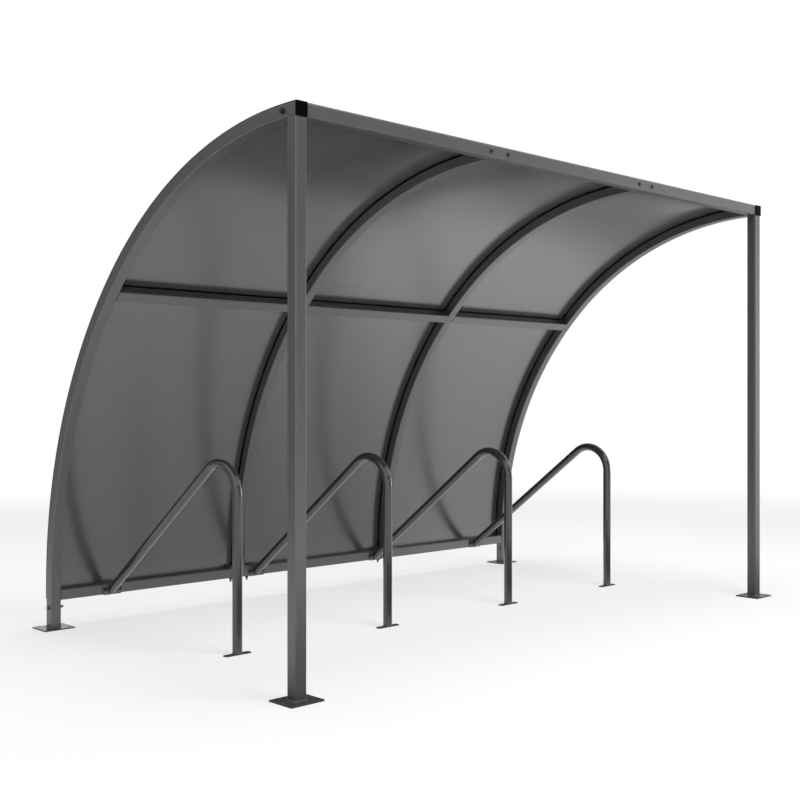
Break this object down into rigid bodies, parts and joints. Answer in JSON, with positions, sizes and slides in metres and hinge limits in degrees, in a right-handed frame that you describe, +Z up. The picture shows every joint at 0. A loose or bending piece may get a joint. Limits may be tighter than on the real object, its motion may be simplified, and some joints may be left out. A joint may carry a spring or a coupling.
{
  "type": "bike shelter",
  "caption": "Open-fronted bike shelter: curved square-tube ribs on posts carry a curved sheet roof over a row of tube hoops for locking bikes.",
  "frame": {"origin": "on the ground, midway along the shelter and midway between its front and back feet", "axes": "+X along the shelter to the right of someone facing it, +Y from the open front to the back, +Z up"},
  "size_m": [3.3, 1.9346, 2.1098],
  "materials": {
    "frame_paint": "satin powder coat, warm dark grey",
    "sheet_paint": "smooth semi-gloss coat, warm dark grey",
    "hoop_paint": "satin powder coat, warm dark grey",
    "cap_plastic": "black moulded plastic"
  },
  "bodies": {
    "root": {"beam_flange_1": "frame_paint", "beam_flange_2": "frame_paint", "bike_hoop_1": "hoop_paint", "bike_hoop_2": "hoop_paint", "bike_hoop_3": "hoop_paint", "bike_hoop_4": "hoop_paint", "bottom_rail": "frame_paint", "end_rib_left": "frame_paint", "end_rib_right": "frame_paint", "front_base_plate_left": "frame_paint", "front_base_plate_right": "frame_paint", "front_beam": "frame_paint", "front_post_left": "frame_paint", "front_post_right": "frame_paint", "hoop_foot_plate_1": "hoop_paint", "hoop_foot_plate_2": "hoop_paint", "hoop_foot_plate_3": "hoop_paint", "hoop_foot_plate_4": "hoop_paint", "hoop_rail_plate_1": "hoop_paint", "hoop_rail_plate_2": "hoop_paint", "hoop_rail_plate_3": "hoop_paint", "hoop_rail_plate_4": "hoop_paint", "mid_rail_1": "frame_paint", "mid_rail_2": "frame_paint", "mid_rail_3": "frame_paint", "middle_rib_1": "frame_paint", "middle_rib_2": "frame_paint", "rail_flange_1": "frame_paint", "rail_flange_2": "frame_paint", "rear_base_plate_left": "frame_paint", "rear_base_plate_right": "frame_paint", "rear_foot_left": "frame_paint", "rear_foot_right": "frame_paint", "rear_spigot_left": "frame_paint", "rear_spigot_right": "frame_paint", "rib_end_cap_left": "cap_plastic", "rib_end_cap_right": "cap_plastic", "roof_sheet_1": "sheet_paint", "roof_sheet_2": "sheet_paint", "roof_sheet_3": "sheet_paint"}
  },
  "joints": []
}
